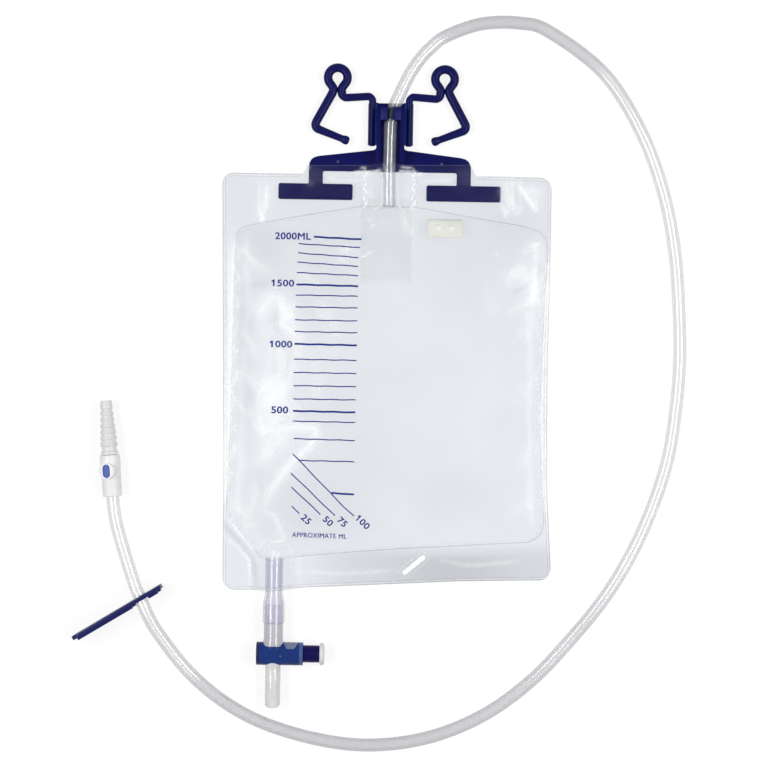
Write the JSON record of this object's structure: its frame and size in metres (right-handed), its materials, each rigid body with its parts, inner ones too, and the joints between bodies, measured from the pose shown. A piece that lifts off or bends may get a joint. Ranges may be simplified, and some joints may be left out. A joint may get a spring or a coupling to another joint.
{
  "type": "urine drainage bag",
  "caption": "Flat two-film drainage bag with hook hanger, flap valve, push-pull tap, and a clear drain tube that carries a slide clamp and a stepped connector with sampling port.",
  "frame": {"origin": "under the middle of the bag with its hanger and tap, on the surface that it lies on; the free tube isn't counted", "axes": "+Y from the tap to the hanger, +X to the side the drain tube loops round, +Z out of the printed front film"},
  "size_m": [0.4287, 0.5146, 0.019],
  "materials": {
    "bag_film": "clear soft PVC film, glossy",
    "valve_film": "clear film",
    "filter_felt": "cream filter sheet",
    "navy_plastic": "satin polypropylene",
    "clear_tube": "clear soft PVC tube",
    "clamp_plastic": "satin polypropylene",
    "white_plastic": "satin ABS",
    "septum_rubber": "blue resealing rubber",
    "outlet_pvc": "clear soft PVC with a lilac cast",
    "tap_plastic": "blue ABS",
    "plunger_plastic": "dark blue plastic",
    "seal_rubber": "seal rubber",
    "cap_plastic": "white plastic"
  },
  "bodies": {
    "bag": {"front_film": "bag_film", "back_film": "bag_film", "valve_front_flap": "valve_film", "valve_back_flap": "valve_film", "vent_filter": "filter_felt", "hanger": "navy_plastic", "outlet_tube": "outlet_pvc", "tap_body": "tap_plastic", "drain_tube": "clear_tube", "stepped_connector": "white_plastic", "port_body": "white_plastic", "port_septum": "septum_rubber"},
    "left_hook": {"left_hook": "navy_plastic"},
    "right_hook": {"right_hook": "navy_plastic"},
    "tap_spool": {"tap_plunger": "plunger_plastic", "inner_seal": "seal_rubber", "middle_seal": "seal_rubber", "outer_seal": "seal_rubber", "plunger_cap": "cap_plastic"},
    "clamp": {"slide_clamp": "clamp_plastic"}
  },
  "joints": [
    {"name": "left_hook_swivel", "type": "hinge", "parent": "bag", "child": "left_hook", "pos_m": [-0.01035, 0.17921, 0.0043], "axis": [0.0166, 0.9999, 0], "range_deg": [-90, 90]},
    {"name": "right_hook_swivel", "type": "hinge", "parent": "bag", "child": "right_hook", "pos_m": [0.01535, 0.17878, 0.0043], "axis": [0.0166, 0.9999, 0], "range_deg": [-90, 90]},
    {"name": "tap_push", "type": "slide", "parent": "bag", "child": "tap_spool", "axis": [-0.9999, 0.0148, 0], "range_m": [0, 0.0105]},
    {"name": "clamp_slide", "type": "slide", "parent": "bag", "child": "clamp", "axis": [0.8616, 0.5075, 0], "range_m": [0, 0.028], "deforming": ["drain_tube"]}
  ]
}
